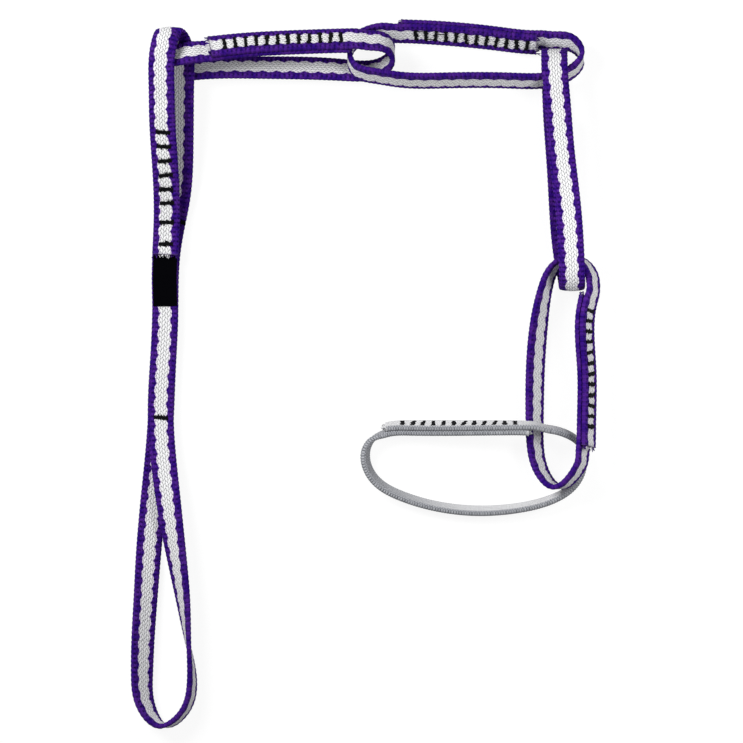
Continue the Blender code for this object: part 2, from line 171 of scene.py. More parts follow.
# The chain is laid from the top of the tie-in loop, which the frame places through the first hinge
FIRST_LINK_PLACE = (-5.1, -13.0)
first_hinge = np.array(frame["joints"][0]["pos_m"])
chain_origin = np.array([first_hinge[0], first_hinge[1] - FIRST_LINK_PLACE[1] * MM, 0.0])
PHOTO_MIDDLE = (371.5, 371.5)
CHAIN_PX = (166.75, 29.5)
camera.location = (
    chain_origin[0] + (PHOTO_MIDDLE[0] - CHAIN_PX[0]) * PIXEL,
    chain_origin[1] - (PHOTO_MIDDLE[1] - CHAIN_PX[1]) * PIXEL,
    CAMERA_HEIGHT,
)


def ease(t):
    """A smooth step: 3t² - 2t³ between 0 and 1."""
    t = np.clip(t, 0.0, 1.0)
    return t * t * (3.0 - 2.0 * t)


def unit(rows):
    """Vectors, each divided by its own length."""
    return rows / np.linalg.norm(rows, axis=-1, keepdims=True)


class ClosedSpline:
    """A closed cubic through rows of numbers. Its second derivatives, bends, solve one equation a knot, which
    says that the slopes on both sides of the knot are the same. Between knots, with left and t the distances
    to the next and from the last, it is (bend * left³ + next bend * t³) / (6 gap) plus a straight line."""

    def __init__(self, rows, knots, period):
        self.rows, self.knots, self.period = rows, knots, period
        self.gaps = np.diff(np.append(knots, period))
        before, after = np.diag(np.roll(self.gaps, 1)), np.diag(self.gaps)
        matrix = 2.0 * (before + after) + np.roll(before, -1, axis=1) + np.roll(after, 1, axis=1)
        slopes = (np.roll(rows, -1, axis=0) - rows) / self.gaps[:, None]
        self.bends = np.linalg.solve(matrix, 6.0 * (slopes - np.roll(slopes, 1, axis=0)))

    def __call__(self, at):
        at = np.mod(at, self.period)
        i = np.searchsorted(self.knots, at, side="right") - 1
        j = (i + 1) % len(self.knots)
        gap, t = self.gaps[i][:, None], (at - self.knots[i])[:, None]
        left = gap - t
        bend = (self.bends[i] * left**3 + self.bends[j] * t**3) / (6.0 * gap)
        start = self.rows[i] / gap - self.bends[i] * gap / 6.0
        stop = self.rows[j] / gap - self.bends[j] * gap / 6.0
        return bend + start * left + stop * t


class Route:
    """Where one loop's tape runs, in millimetres, through its table's points. Along and across are stretched
    from pixels to the loop's own length and spread, and laid off from its start along its heading. The tape
    starts as the splice's inner layer and ends as its outer one, turned over by lap_turn degrees each lap."""

    def __init__(self, table, start, heading, length, spread, splice=SPLICE, lap_turn=0.0):
        self.splice, self.lap_turn = splice, lap_turn
        turned = np.radians(heading)
        self.ahead = np.array([np.cos(turned), np.sin(turned), 0.0])
        self.left = np.array([-np.sin(turned), np.cos(turned), 0.0])
        along, across, level, lean, *forward = np.array(table, float).T
        along = (along - along.min()) / np.ptp(along) * length
        across = (across - (across.min() + across.max()) / 2.0) / np.ptp(across) * spread
        along = length - along if heading == LEFTWARDS else along
        across = -across if heading == RIGHTWARDS else across
        origin = np.array([start[0], start[1], 0.0])
        points = origin + along[:, None] * self.ahead + across[:, None] * self.left
        points[:, 2] = level * LEVEL
        steps = np.linalg.norm(np.roll(points, -1, axis=0) - points, axis=1)
        knots = np.concatenate([[0.0], np.cumsum(steps)[:-1]])
        self.period = steps.sum()
        forward = forward or [np.zeros(len(knots))]
        rows = np.column_stack([points, lean - lap_turn * knots / self.period, *forward])
        self.spline = ClosedSpline(rows, knots, self.period)
        self.fine = np.linspace(0.0, self.period, FINE_STEPS + 1)
        places = self.spline(self.fine)[:, :3]
        walked = np.cumsum(np.linalg.norm(np.diff(places, axis=0), axis=1))
        self.walked = np.concatenate([[0.0], walked])
        self.length = self.walked[-1]
        # Outward, at both ends, is away from the nearest place that isn't close to them along the tape
        past_start = self.walked > self.length / FAR_PARTS
        before_end = self.walked < self.length * (FAR_PARTS - 1.0) / FAR_PARTS
        far = places[past_start & before_end]
        place, _, _, normal = self.frame(np.array([0.0, self.length]))
        opposite = far[np.argmin(np.linalg.norm(far - place[0], axis=1))]
        self.outward = np.sign(((place - opposite) * normal).sum(axis=1))

    def frame(self, walked):
        """Place, direction, width direction and face normal of the middle line between the layers. The width
        direction is sin(lean) * left + cos(lean) * up, tipped forward where the table says so."""
        lap = np.floor(walked / self.length)
        at = np.interp(walked - lap * self.length, self.walked, self.fine)
        nudge = self.period / FINE_STEPS / NUDGES_PER_STEP
        row = self.spline(at)
        ahead = unit(self.spline(at + nudge)[:, :3] - self.spline(at - nudge)[:, :3])
        lean = np.radians(row[:, 3] + self.lap_turn * (at / self.period + lap))[:, None]
        forward = np.sin(np.radians(row[:, 4]))[:, None] * self.ahead
        wide = np.sin(lean) * self.left + forward + np.cos(lean) * np.array([0.0, 0.0, 1.0])
        wide = unit(wide - (wide * ahead).sum(axis=1)[:, None] * ahead)
        return row[:, :3], ahead, wide, np.cross(ahead, wide)

    def layer(self, walked):
        """How far outward the tape lies: as the inner layer, then single, then as the outer layer."""
        apart = (TAPE_THICK + LAYER_GAP) / 2.0
        inner = 1.0 - ease((walked - self.splice - SPLICE_CLEAR) / SPLICE_RAMP)
        outer = ease((walked - self.length + SPLICE_CLEAR + SPLICE_RAMP) / SPLICE_RAMP)
        return apart * (outer - inner)

    def side(self, walked):
        """1 where the face normal points outward and -1 where it points inward, for each half of the lap."""
        return np.where(walked < self.length / 2.0, self.outward[0], self.outward[1])

    def at(self, walked, across, out):
        """Points at a distance walked, across the tape's width and out from its middle. All three are arrays
        of one shape: place + across * width direction + (layer + out) * outward normal."""
        flat = np.ravel(walked)
        place, _, wide, normal = self.frame(flat)
        normal = normal * self.side(flat)[:, None]
        out = np.ravel(out) + self.layer(flat)
        points = place + wide * np.ravel(across)[:, None] + normal * out[:, None]
        return points.reshape(np.shape(walked) + (3,)) * MM + chain_origin


# Weft ribs cross the tape. Its ends are cut hot, curl up a little and keep short tufts of loose yarn
RIB = 2.35
RIB_HEIGHT = 0.2
FACE_COLUMNS = 11
EDGE_COLUMNS = 7
EDGE_ROUND = 0.75
STEPS_PER_RIB = 7
TACK_DENT = 0.25
DENT_ALONG = 1.3
MELT_LENGTH = 0.45
CURL, CURL_LENGTH = 0.4, 1.7
# The ribs are this share as high in the middle. Where they begin to rise to the edge and over how much, and
# where the tacks' dents begin to fade and over how much, are shares of half the width.
MIDDLE_RIB_SHARE = 0.35
RIBS_FROM, RIBS_OVER = 0.42, 0.2
DENT_TO, DENT_OVER = 0.5, 0.12
YARNS = 34
YARN_REACH = 2.4
YARN_SHORTEST_SHARE = 0.35
YARN_ACROSS_SHARE, YARN_THROUGH_SHARE = 0.47, 0.35
YARN_ROOT = 0.3
YARN_ASIDE = 0.9
YARN_DROP, YARN_LIFT = 0.5, 0.7
YARN_MELT = 0.12
YARN_RADIUS = 0.2
YARN_SIDES = 5
YARN_POINTS = 5
tufts = np.random.default_rng(5)


def outline(width, thick):
    """A rounded bar's outline, counter-clockwise, and its normals: straight faces, and edges as half rounds,
    reach + EDGE_ROUND * cos(turn) across and half the thickness * sin(turn) out."""
    reach, half = width / 2.0 - EDGE_ROUND, thick / 2.0
    turn = np.linspace(-np.pi / 2.0, np.pi / 2.0, EDGE_COLUMNS)
    edge = np.column_stack([reach + EDGE_ROUND * np.cos(turn), half * np.sin(turn)])
    normal = unit(np.column_stack([np.cos(turn) / EDGE_ROUND, np.sin(turn) / half]))
    face = np.linspace(reach, -reach, FACE_COLUMNS)[1:-1]
    top = np.column_stack([face, np.full(len(face), half)])
    up = np.tile([0.0, 1.0], (len(face), 1))
    places = np.concatenate([edge, top, -edge, -top])
    return places, np.concatenate([normal, up, -normal, -up])


def put_mesh(name, points, faces, uvs, look):
    """A smooth mesh object from arrays, with the UV map named weave. Its place is in its points."""
    mesh = bpy.data.meshes.new(name)
    mesh.from_pydata(points.reshape(-1, 3), [], faces)
    corner = np.empty(len(mesh.loops), np.int32)
    mesh.loops.foreach_get("vertex_index", corner)
    corner_uvs = uvs.reshape(-1, 2)[corner].astype(np.float32)
    mesh.uv_layers.new(name="weave").data.foreach_set("uv", corner_uvs.ravel())
    mesh.polygons.foreach_set("use_smooth", np.ones(len(mesh.polygons), bool))
    mesh.materials.append(look)
    made = bpy.data.objects.new(name, mesh)
    bpy.context.scene.collection.objects.link(made)
    return made


def grid_faces(rows, columns):
    """Quads of a grid that closes round its columns: point number is row * columns + column."""
    i, j = np.meshgrid(np.arange(rows - 1), np.arange(columns), indexing="ij")
    here, beside = i * columns + j, i * columns + (j + 1) % columns
    return np.stack([here, beside, beside + columns, here + columns], axis=-1).reshape(-1, 4)


def tube_skins(paths, ups, radius, sides):
    """Points and faces of closed round tubes along paths, an array of tubes by points by 3. Each ring is
    centre + radius * (cos(angle) * side + sin(angle) * up), with side square to the path and to up."""
    count, steps, _ = paths.shape
    side = unit(np.cross(unit(np.gradient(paths, axis=1)), ups))
    up = np.cross(side, unit(np.gradient(paths, axis=1)))
    angle = np.arange(sides) * 2.0 * np.pi / sides
    round_it = np.cos(angle)[:, None] * side[:, :, None, :] + np.sin(angle)[:, None] * up[:, :, None, :]
    points = paths[:, :, None, :] + radius * MM * round_it
    starts = np.arange(count)[:, None, None] * steps * sides
    quads = (grid_faces(steps, sides)[:, ::-1] + starts).reshape(-1, 4)
    ring = np.arange(sides) + starts[:, 0]
    return points, quads.tolist() + ring.tolist() + (ring[:, ::-1] + (steps - 1) * sides).tolist()


def loose_yarns(route, width, thick, end, onward):
    """Points, faces and UVs of the cut yarns that stand out of a tape's end. Each runs on from the end by its
    own reach times t, and bends sideways and outwards by its own amounts times t squared."""
    t = np.linspace(0.0, 1.0, YARN_POINTS)[None, :]
    each = (YARNS, 1)
    reach = YARN_REACH * tufts.uniform(YARN_SHORTEST_SHARE, 1.0, each)
    across = tufts.uniform(-YARN_ACROSS_SHARE, YARN_ACROSS_SHARE, each) * width
    walked = end + onward * (reach * t - YARN_ROOT)
    aside = across + tufts.uniform(-YARN_ASIDE, YARN_ASIDE, each) * t**2
    root = tufts.uniform(-YARN_THROUGH_SHARE, YARN_THROUGH_SHARE, each) * thick
    out = root + onward * (CURL + tufts.uniform(-YARN_DROP, YARN_LIFT, each) * t**2)
    paths = route.at(walked, aside, out)
    ups = unit(route.at(walked, aside, out + 1.0) - paths)
    points, faces = tube_skins(paths, ups, YARN_RADIUS, YARN_SIDES)
    places = (walked[..., None], across[..., None])
    uvs = np.stack([np.broadcast_to(place, points.shape[:3]) for place in places], axis=-1)
    return points.reshape(-1, 3), faces, uvs.reshape(-1, 2)


FLAT = ((0.0, 0.0),)


def tape(name, route, width, thick, look, rib, rib_height, tacks, cupped=FLAT, **marks):
    """The tape's skin: its outline carried along the route. Out along the outline's normal it rises with the
    weft ribs, |cos(pi * walked / rib)|, lower in the middle than at the edges, and dips at each tack. Its
    ends curl by CURL * exp(-distance to the end / CURL_LENGTH), the outer one out and the inner one in. Where
    cupped says so its edges drop by (2 * across / width)². Attributes: melt, high at the cut ends; pinch,
    high at the tacks; and one for each table in marks, whose rows are millimetres walked and a value."""
    total = route.length + route.splice
    rows = int(np.ceil(total / rib * STEPS_PER_RIB)) + 1
    walked = np.linspace(0.0, total, rows)
    places, normals = outline(width, thick)
    across, out = places.T
    curl = CURL * (np.exp(-(total - walked) / CURL_LENGTH) - np.exp(-walked / CURL_LENGTH))[:, None]
    cup = np.interp(walked, *np.array(cupped, float).T)[:, None] * (2.0 * across / width) ** 2
    to_edge = ease((np.abs(across) / (width / 2.0) - RIBS_FROM) / RIBS_OVER)
    rib_share = MIDDLE_RIB_SHARE + (1.0 - MIDDLE_RIB_SHARE) * to_edge
    ribs = np.abs(np.cos(np.pi * walked / rib))[:, None] * rib_share
    dents = np.exp(-(((walked[:, None] - tacks[None, :]) / DENT_ALONG) ** 2)).sum(axis=1)[:, None]
    inside = 1.0 - ease((np.abs(across) / (width / 2.0) - DENT_TO) / DENT_OVER)
    rise = rib_height * (ribs - 0.5) - TACK_DENT * dents * inside
    shape = (rows, len(across))
    walked_grid = np.broadcast_to(walked[:, None], shape)
    lifted = out + normals[:, 1] * rise + curl - cup
    grid = route.at(walked_grid, across + normals[:, 0] * rise, lifted)
    # Where the outward side is against the face normal, the outline runs the other way round
    turned = route.side(walked) < 0
    grid_quads = grid_faces(*shape)
    flip = np.repeat(turned[:-1], shape[1])
    grid_quads[flip] = grid_quads[flip][:, ::-1]
    uvs = np.stack([walked_grid, np.broadcast_to(across, shape)], axis=-1)
    last = (rows - 1) * shape[1]
    caps = [np.arange(shape[1])[::-1].tolist(), (last + np.arange(shape[1])).tolist()]
    for end, cap in zip((0, -1), caps):
        if not turned[end]:
            cap.reverse()
    points, faces, uvs = grid.reshape(-1, 3), grid_quads.tolist() + caps, uvs.reshape(-1, 2)
    for end, onward in ((0.0, -1.0), (total, 1.0)):
        more, more_faces, more_uvs = loose_yarns(route, width, thick, end, onward)
        faces += [[corner + len(points) for corner in face] for face in more_faces]
        points, uvs = np.concatenate([points, more]), np.concatenate([uvs, more_uvs])
    made = put_mesh(name, points, faces, uvs, look)
    walked = uvs[:, 0]
    to_end = np.minimum(walked, total - walked)
    nearest = np.abs(walked[:, None] - tacks[None, :]).min(axis=1)
    values = {key: np.interp(walked, *np.array(rows, float).T) for key, rows in marks.items()}
    values["melt"] = np.where(to_end < 0.0, YARN_MELT, np.exp(-np.maximum(to_end, 0.0) / MELT_LENGTH))
    values["pinch"] = np.exp(-((nearest / DENT_ALONG) ** 2))
    for key, value in values.items():
        made.data.attributes.new(key, "FLOAT", "POINT").data.foreach_set("value", value.astype(np.float32))
    return made


# How flat the picks and columns are on top, how much a column's rounding takes from a cell, and how sharp the
# painted shade in the gaps between picks is and how much weaker in a column's middle
PICK_POWER, CROWN_POWER = 0.7, 0.5
CROWN_SHARE = 0.6
GAP_SHADE_POWER = 1.5
GAP_SHADE_WEAKER = 0.92
YARNS_PER_RIB = 4.0


def weave_group():
    """The weave on a tape's UVs, in millimetres. Its warp lies in columns. Every other column's picks are set
    half a rib on and slant the other way, so that they make chevrons: pick is
    |cos(pi * (along / rib + half of odd ± slant * place in the column))|. Crown is the rounding of a column,
    |sin(pi * across / column)|. A cell's crown is a power of pick times a share of crown, and gap shade,
    the mask of the painted shade in the weave's hollows, is (1 - pick)^GAP_SHADE_POWER, darkest between the
    columns. Yarns are finer waves along each pick."""
    group = bpy.data.node_groups.new("woven chevron columns", "ShaderNodeTree")
    group.interface.new_socket("Place", in_out="INPUT", socket_type="NodeSocketVector")
    for name in ("Rib", "Column", "Slant"):
        group.interface.new_socket(name, in_out="INPUT", socket_type="NodeSocketFloat")
    for name in ("Along", "Across", "Rib crown", "Cell crown", "Gap shade", "Yarns"):
        group.interface.new_socket(name, in_out="OUTPUT", socket_type="NodeSocketFloat")
    source = group.nodes.new("NodeGroupInput").outputs
    target = group.nodes.new("NodeGroupOutput").inputs
    split = group.nodes.new("ShaderNodeSeparateXYZ")
    group.links.new(source["Place"], split.inputs[0])
    along, across = split.outputs["X"], split.outputs["Y"]
    turns = calc(group, "DIVIDE", along, source["Rib"])
    column = calc(group, "DIVIDE", across, source["Column"])
    rib = calc(group, "ABSOLUTE", calc(group, "COSINE", calc(group, "MULTIPLY", turns, np.pi)))
    odd = calc(group, "FLOORED_MODULO", calc(group, "FLOOR", column), 2.0)
    inside = calc(group, "SUBTRACT", calc(group, "FRACT", column), 0.5)
    leaning = calc(group, "MULTIPLY", calc(group, "MULTIPLY_ADD", odd, 2.0, -1.0), source["Slant"])
    slant = calc(group, "MULTIPLY", inside, leaning)
    shifted = calc(group, "ADD", calc(group, "MULTIPLY_ADD", odd, 0.5, turns), slant)
    pick = calc(group, "ABSOLUTE", calc(group, "COSINE", calc(group, "MULTIPLY", shifted, np.pi)))
    crown = calc(group, "ABSOLUTE", calc(group, "SINE", calc(group, "MULTIPLY", column, np.pi)))
    rounding = calc(group, "POWER", crown, CROWN_POWER)
    rounded = calc(group, "MULTIPLY_ADD", rounding, CROWN_SHARE, 1.0 - CROWN_SHARE)
    cell = calc(group, "MULTIPLY", calc(group, "POWER", pick, PICK_POWER), rounded)
    between = calc(group, "MULTIPLY_ADD", crown, -GAP_SHADE_WEAKER, 1.0)
    # The gap mask says where the painted shade of the weave's hollows goes
    hollow = calc(group, "POWER", calc(group, "SUBTRACT", 1.0, pick), GAP_SHADE_POWER)
    gap = calc(group, "MULTIPLY", hollow, between)
    finer = calc(group, "MULTIPLY", shifted, YARNS_PER_RIB * np.pi)
    yarn = calc(group, "ABSOLUTE", calc(group, "SINE", finer))
    made = {"Along": along, "Across": across, "Rib crown": rib, "Cell crown": cell, "Gap shade": gap, "Yarns": yarn}
    for name, value in made.items():
        group.links.new(value, target[name])
    return group


woven = weave_group()


def place_weave(tree, rib, column, slant):
    """The weave group in a material, reading the piece's own UV map. Its outputs, and the map's."""
    uv = tree.nodes.new("ShaderNodeUVMap")
    uv.uv_map = "weave"
    made = tree.nodes.new("ShaderNodeGroup")
    made.node_tree = woven
    tree.links.new(uv.outputs[0], made.inputs["Place"])
    made.inputs["Rib"].default_value = rib
    made.inputs["Column"].default_value = column
    made.inputs["Slant"].default_value = slant
    return made.outputs, uv.outputs[0]


def mix_colours(tree, share, first, second):
    """A Mix node of two colours: first where share is 0 and second where it is 1."""
    made = tree.nodes.new("ShaderNodeMix")
    made.data_type = "RGBA"
    for socket, value in ((made.inputs["Factor"], share), (made.inputs[6], first), (made.inputs[7], second)):
        if isinstance(value, bpy.types.NodeSocket):
            tree.links.new(value, socket)
        else:
            socket.default_value = value
    return made.outputs[2]


SHEEN_ROUGHNESS = 0.45
CLOTH_SPECULAR = 0.05


def finish_cloth(tree, surface, colour, height, roughness, sheen, specular=CLOTH_SPECULAR):
    """A Principled cloth: colour and a bump whose height is in millimetres."""
    shader = tree.nodes.new("ShaderNodeBsdfPrincipled")
    bump = tree.nodes.new("ShaderNodeBump")
    bump.inputs["Distance"].default_value = MM
    tree.links.new(height, bump.inputs["Height"])
    tree.links.new(bump.outputs[0], shader.inputs["Normal"])
    tree.links.new(colour, shader.inputs["Base Color"])
    shader.inputs["Roughness"].default_value = roughness
    shader.inputs["Sheen Weight"].default_value = sheen
    shader.inputs["Sheen Roughness"].default_value = SHEEN_ROUGHNESS
    shader.inputs["Specular IOR Level"].default_value = specular
    tree.links.new(shader.outputs[0], surface)


def read_mark(tree, name):
    """A tape's own attribute in its material."""
    return add(tree, "Attribute", attribute_name=name, attribute_type="GEOMETRY").node.outputs["Fac"]


def keep_in_range(colour):
    """The same mix of colours, its share kept between 0 and 1."""
    colour.node.clamp_factor = True
    return colour


# Crown colours are the yarns' own; gap colours are painted shade in the hollows between picks and ribs
VIOLET_CROWN = (0.098, 0.021, 0.305, 1.0)
VIOLET_SHADED_CROWN = (0.034, 0.0035, 0.23, 1.0)
VIOLET_GAP_SHADE = (0.006, 0.0004, 0.055, 1.0)
WHITE_CROWN = (0.88, 0.88, 0.89, 1.0)
WHITE_GAP_SHADE = (0.13, 0.135, 0.14, 1.0)
LAVENDER = (0.72, 0.56, 0.84, 1.0)
MELTED = (0.07, 0.035, 0.13, 1.0)
MIDDLE_REACH = 2.95
SCALLOP = 7.0
SCALLOP_DEEP = 0.5
PINCHED = 0.45
COLUMN, SLANT = 1.3, 0.45
BORDER_COLUMN, BORDER_SLANT = 1.15, 0.35
TOOTH, TOOTH_BACK = 0.3, 0.19
MIDDLE_SOFT = 0.1
# Two noises: the fine one wears the yarns and the coarse one paints the violet darker and bluer in
# random patches, a painted shade
WEAR_SCALE, SHADE_PATCH_SCALE = 0.8, 0.23
NOISE_DETAIL = 3.0
WEAR = 1.3
SHADE_PATCH_FROM, SHADE_PATCH_TO = 0.4, 0.62
# How much of a border's painted shading, from the shade in its gaps up to its crown colour, comes from its
# picks and how much from its ribs, each to a power
PICK_BRIGHT, PICK_SHARP = 0.45, 1.3
RIB_BRIGHT, RIB_SHARP = 0.5, 1.2
DOTS, DOTS_WORN = 1.9, 0.45
# The middle's first half millimetre is dyed through from the border
DYED_FROM, DYED_TO, DYED_SHARE = 0.05, 0.6, 0.7
MELTED_SHARE = 0.85
YARN_BUMP, CROWN_BUMP = 0.03, 0.28
WEBBING_ROUGH, VIOLET_SHEEN = 0.8, 0.015


def violet_webbing():
    """Violet and white polyester. The middle's edge runs in scallops with pointed notches, half a scallop
    apart on the two sides: MIDDLE_REACH + SCALLOP_DEEP * (2 |sin(pi * along / SCALLOP ± pi / 4)| - 1), with a
    small tooth at every rib, and it draws in at the tacks."""
    made, tree, surface = blank_material("violet and white webbing")
    weave, uv = place_weave(tree, RIB, COLUMN, SLANT)
    borders, _ = place_weave(tree, RIB, BORDER_COLUMN, BORDER_SLANT)
    centred = calc(tree, "SUBTRACT", weave["Across"], read_mark(tree, "shift"))
    side = calc(tree, "MULTIPLY", calc(tree, "SIGN", centred), np.pi / 4.0)
    phase = calc(tree, "MULTIPLY_ADD", weave["Along"], np.pi / SCALLOP, side)
    wave = calc(tree, "ABSOLUTE", calc(tree, "SINE", phase))
    edge = calc(tree, "MULTIPLY_ADD", wave, 2.0 * SCALLOP_DEEP, MIDDLE_REACH - SCALLOP_DEEP)
    toothed = calc(tree, "MULTIPLY_ADD", weave["Rib crown"], TOOTH, calc(tree, "SUBTRACT", edge, TOOTH_BACK))
    drawn_in = calc(tree, "MULTIPLY_ADD", read_mark(tree, "pinch"), -PINCHED, toothed)
    beyond = calc(tree, "SUBTRACT", drawn_in, calc(tree, "ABSOLUTE", centred))
    middle = add(tree, "MapRange", beyond, -MIDDLE_SOFT, MIDDLE_SOFT)
    noises = []
    for scale in (WEAR_SCALE, SHADE_PATCH_SCALE):
        noise = tree.nodes.new("ShaderNodeTexNoise")
        tree.links.new(uv, noise.inputs["Vector"])
        noise.inputs["Scale"].default_value = scale
        noise.inputs["Detail"].default_value = NOISE_DETAIL
        noises.append(noise.outputs[0])
    worn = calc(tree, "MULTIPLY_ADD", noises[0], WEAR, -WEAR / 2.0)
    shade_patches = add(tree, "MapRange", noises[1], SHADE_PATCH_FROM, SHADE_PATCH_TO)
    # Crowns are painted darker and bluer in patches, as painted shade
    crown = mix_colours(tree, shade_patches, VIOLET_CROWN, VIOLET_SHADED_CROWN)
    picks = calc(tree, "MULTIPLY", calc(tree, "POWER", borders["Cell crown"], PICK_SHARP), PICK_BRIGHT)
    ribs = calc(tree, "POWER", borders["Rib crown"], RIB_SHARP)
    border_shading = calc(tree, "MULTIPLY_ADD", ribs, RIB_BRIGHT, picks)
    lifted = calc(tree, "ADD", border_shading, worn)
    # The border is painted from shade in its gaps up to the violet of its crowns
    border = keep_in_range(mix_colours(tree, lifted, VIOLET_GAP_SHADE, crown))
    # Grey dots of painted shade where the white middle's picks part
    gap_shade_dots = calc(tree, "MULTIPLY_ADD", weave["Gap shade"], DOTS, calc(tree, "MULTIPLY", worn, DOTS_WORN))
    centre = keep_in_range(mix_colours(tree, gap_shade_dots, WHITE_CROWN, WHITE_GAP_SHADE))
    dyed = add(tree, "MapRange", beyond, DYED_FROM, DYED_TO, DYED_SHARE, 0.0)
    tinted = mix_colours(tree, dyed, centre, LAVENDER)
    cloth = mix_colours(tree, middle, border, tinted)
    melted = calc(tree, "MULTIPLY", read_mark(tree, "melt"), MELTED_SHARE)
    colour = mix_colours(tree, melted, cloth, MELTED)
    half_cell = calc(tree, "MULTIPLY", borders["Cell crown"], 0.5)
    edge_crowns = calc(tree, "MULTIPLY_ADD", borders["Rib crown"], 0.5, half_cell)
    from_edge = calc(tree, "SUBTRACT", weave["Cell crown"], edge_crowns)
    crowns = calc(tree, "MULTIPLY_ADD", middle, from_edge, edge_crowns)
    rise = calc(tree, "MULTIPLY_ADD", weave["Yarns"], YARN_BUMP, calc(tree, "MULTIPLY", crowns, CROWN_BUMP))
    finish_cloth(tree, surface, colour, rise, WEBBING_ROUGH, VIOLET_SHEEN)
    return made


violet = violet_webbing()

# Bar tack places, in millimetres walked from the splice's inner end
TIE_IN_TACKS = 6
TIE_IN_TACK_PITCH = 7.3
TIE_IN_FIRST_TACK = 7.0
THROAT_PAUSE = 2.9
THROAT_TACK_PITCH = 11.1
THROAT_TACKS = 2
DIVIDER_PLACE = 152.0


def beneath(route, walked):
    """Where on the rear strand lies straight below a place on the front strand."""
    front = route.frame(np.array([walked]))[0][0]
    rear = np.linspace(route.length / 2.0, route.length - TIE_IN_FIRST_TACK, FINE_STEPS)
    places = route.frame(rear)[0]
    apart = np.where(places[:, 2] < front[2], np.abs(places[:, 1] - front[1]), np.inf)
    return rear[np.argmin(apart)]


tie_in = Route(TIE_IN_PX, TIE_IN_PLACE, DOWNWARDS, TIE_IN_LENGTH, TIE_IN_SPREAD, SPLICE, HALF_TWIST)
tie_in_tacks = TIE_IN_FIRST_TACK + TIE_IN_TACK_PITCH * np.arange(TIE_IN_TACKS)
throat = TIE_IN_FIRST_TACK + TIE_IN_TACKS * TIE_IN_TACK_PITCH + THROAT_PAUSE
throat_front = throat + THROAT_TACK_PITCH * np.arange(THROAT_TACKS)
throat_rear = beneath(tie_in, throat) - THROAT_TACK_PITCH * np.arange(THROAT_TACKS)[::-1]
divider = np.array([DIVIDER_PLACE, beneath(tie_in, DIVIDER_PLACE)])
once_round = tie_in.length
sewn_twice = np.concatenate([tie_in_tacks, throat_front])
dents = np.concatenate([sewn_twice, sewn_twice + once_round, throat_rear, divider])
# The woven middle lies a little to one side down the strands, and well to one side where the tape turns over
# the top, where it is cupped too. Each row is millimetres walked and millimetres aside, or of cupping.
TIE_IN_MIDDLE = (
    (0.0, -0.5), (SPLICE, -0.4), (120.0, 0.0), (300.0, 0.0),
    (once_round - 260.0, 0.0), (once_round - 170.0, 2.0), (once_round - 120.0, 1.6), (once_round - 80.0, 1.3),
    (once_round - 64.0, 3.0), (once_round - 54.0, 3.0), (once_round - 46.0, 0.9), (once_round - 30.0, 0.6),
    (once_round + SPLICE, 0.5),
)
TIE_IN_CUPPED = (
    (once_round - 62.0, 0.0), (once_round - 52.0, 2.2), (once_round - 45.0, 2.0), (once_round - 30.0, 0.0),
)
loop = tape(
    "tie_in_woven_loop", tie_in, TAPE_WIDE, TAPE_THICK, violet, RIB, RIB_HEIGHT, dents, TIE_IN_CUPPED,
    shift=TIE_IN_MIDDLE,
)
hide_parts("tie_in_webbing")
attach(loop, "tie_in_loop")

# The four links. Each is a short ring of the same webbing, closed by a splice of twelve bar tacks, and hooks
# through the one before it. The third stands upright, with one strand over the other.
FIRST_LINK_PX = (
    (350, 41, 21.2, -48), (300, 42.5, 20.0, -48), (250, 45, 19.6, -49), (212, 49, 19.6, -52),
    (175, 55.5, 20.3, -53), (162, 58.5, 18.0, -49), (156.5, 64, 12.4, -46), (164, 69.5, 7.0, -46),
    (195, 69, 5.5, -49), (256, 66.8, 5.4, -56), (345, 69.3, 5.4, -54), (376, 68.5, 5.8, -47),
    (389, 61.5, 9.3, -46), (393, 53, 13.5, -46), (387, 44, 17.8, -46), (372, 41, 20.8, -47),
)
SECOND_LINK_PX = (
    (538, 39.5, 6.2, 43), (500, 36, 6.2, 44), (440, 30, 6.2, 44), (395, 28.5, 6.6, 40),
    (368, 32.5, 7.4, 36), (354.5, 41.5, 9.1, 31), (351, 55, 12.5, 28), (356.5, 68, 16.0, 28),
    (378, 75, 18.6, 29), (400, 78.5, 18.6, 29), (450, 79.3, 16.0, 29), (510, 79.3, 13.0, 29),
    (550, 78.7, 11.2, 29), (570, 72, 10.4, 29), (583, 55, 8.7, 32), (574, 41, 7.2, 38),
    (557, 38.5, 6.3, 42),
)
THIRD_LINK_PX = (
    (118, 557.7, 4.1, 90), (170, 561.3, 4.0, 90), (225, 564.5, 3.9, 90), (262, 569, 1.6, 90),
    (280, 572.2, 4.0, 90), (288, 572.8, 11.0, 90), (280, 572.8, 18.6, 90), (262, 572.2, 22.2, 90),
    (205, 568.6, 20.4, 90), (150, 562.4, 19.4, 90), (100, 558.3, 19.3, 90), (68, 555.8, 18.9, 90),
    (54.5, 555.4, 15.5, 90), (49.5, 555.4, 10.4, 90), (54.5, 555.4, 5.2, 90), (70, 555.8, 1.8, 90),
)
FOURTH_LINK_PX = (
    (298, 588.8, 14.6, -28), (370, 587, 15.0, -27), (425, 586.6, 15.8, -27), (455, 584, 17.0, -27),
    (472, 576, 16.6, -27), (486, 557, 11.8, -26), (474, 544, 8.2, -30), (445, 536, 6.4, -35),
    (420, 535.3, 6.1, -38), (370, 536, 6.1, -41), (320, 540, 6.6, -38), (285, 546.5, 8.4, -28),
    (264, 557, 11.0, -24), (257, 572, 12.0, -22), (265, 587, 12.9, -22), (281, 593, 13.3, -26),
)
FIRST_LENGTH, FIRST_SPREAD = 118.0, 14.5
SECOND_LENGTH, SECOND_SPREAD = 116.0, 24.7
THIRD_LENGTH, THIRD_SPREAD = 119.0, 8.8
FOURTH_LENGTH, FOURTH_SPREAD = 114.5, 29.0
SECOND_SPLICE, THIRD_SPLICE, FOURTH_SPLICE = 68.0, 60.0, 74.0
